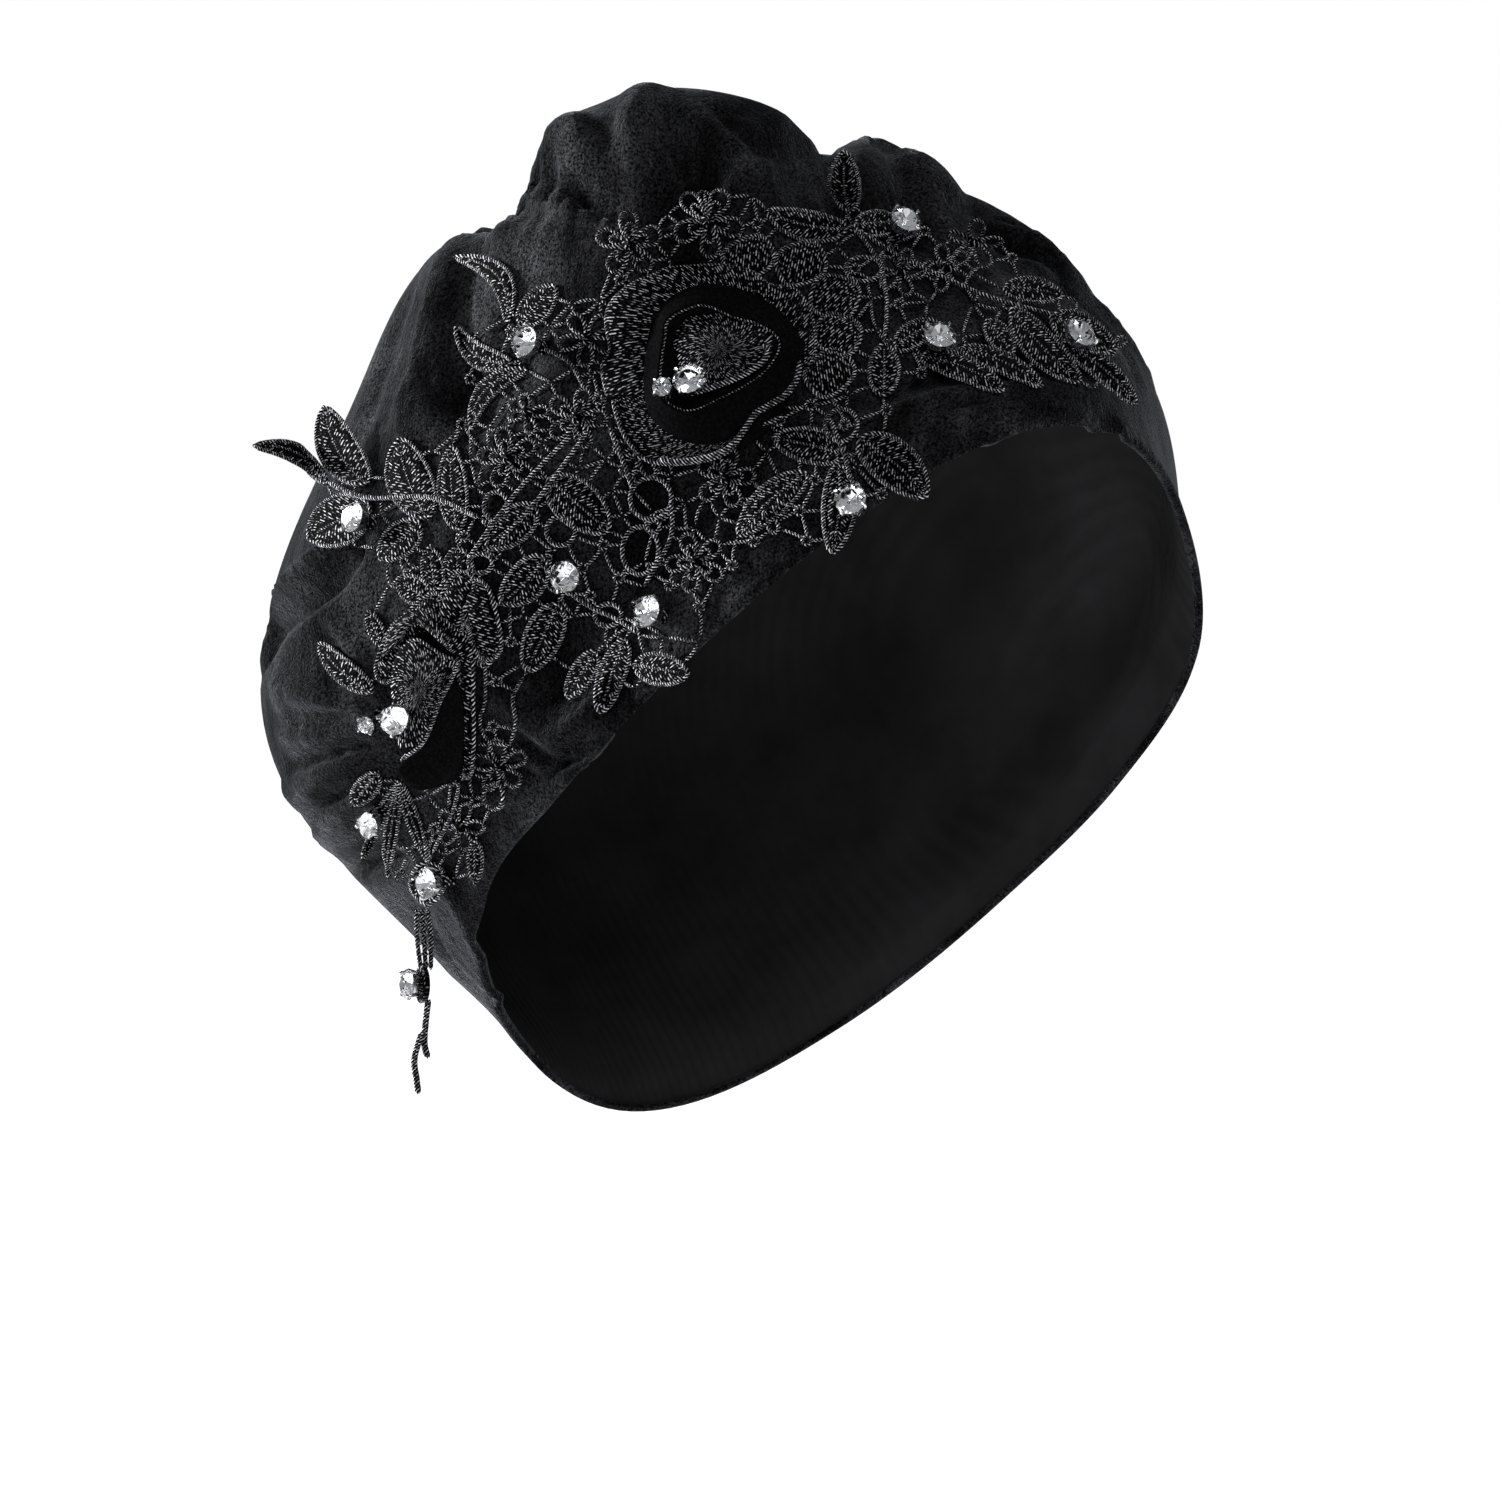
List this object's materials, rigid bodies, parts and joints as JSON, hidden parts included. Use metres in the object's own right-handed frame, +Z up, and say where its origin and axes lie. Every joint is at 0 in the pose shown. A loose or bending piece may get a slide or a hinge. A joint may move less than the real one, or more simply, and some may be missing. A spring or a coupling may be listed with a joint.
{
  "type": "turban cap",
  "caption": "soft velvet turban cap with a puffed, pleated crown, a raised rose and leaf lace applique over one side, and cut crystals in claw settings",
  "frame": {"origin": "where the top of the wearer's head sits inside the crown", "axes": "+Z up as worn, -Y towards the wearer's face, -X towards the wearer's right, the trimmed side"},
  "size_m": [0.2134, 0.2339, 0.2652],
  "materials": {
    "velvet": "black crushed velvet with a soft grey sheen on its folds",
    "lace_thread": "black satin embroidery thread",
    "crystal": "clear cut crystal with a foiled back",
    "silver": "silver-coloured pressed metal"
  },
  "bodies": {
    "root": {"crown": "velvet", "lace_applique": "lace_thread", "lace_tail": "lace_thread", "rose_main": "lace_thread", "rose_side": "lace_thread", "crystal_01": "crystal", "crystal_02": "crystal", "crystal_03": "crystal", "crystal_04": "crystal", "crystal_05": "crystal", "crystal_06": "crystal", "crystal_07": "crystal", "crystal_08": "crystal", "crystal_09": "crystal", "crystal_10": "crystal", "crystal_11": "crystal", "crystal_12": "crystal", "crystal_13": "crystal", "crystal_14": "crystal", "crystal_15": "crystal", "setting_01": "silver", "setting_02": "silver", "setting_03": "silver", "setting_04": "silver", "setting_05": "silver", "setting_06": "silver", "setting_07": "silver", "setting_08": "silver", "setting_09": "silver", "setting_10": "silver", "setting_11": "silver", "setting_12": "silver", "setting_13": "silver", "setting_14": "silver", "setting_15": "silver"}
  },
  "joints": []
}
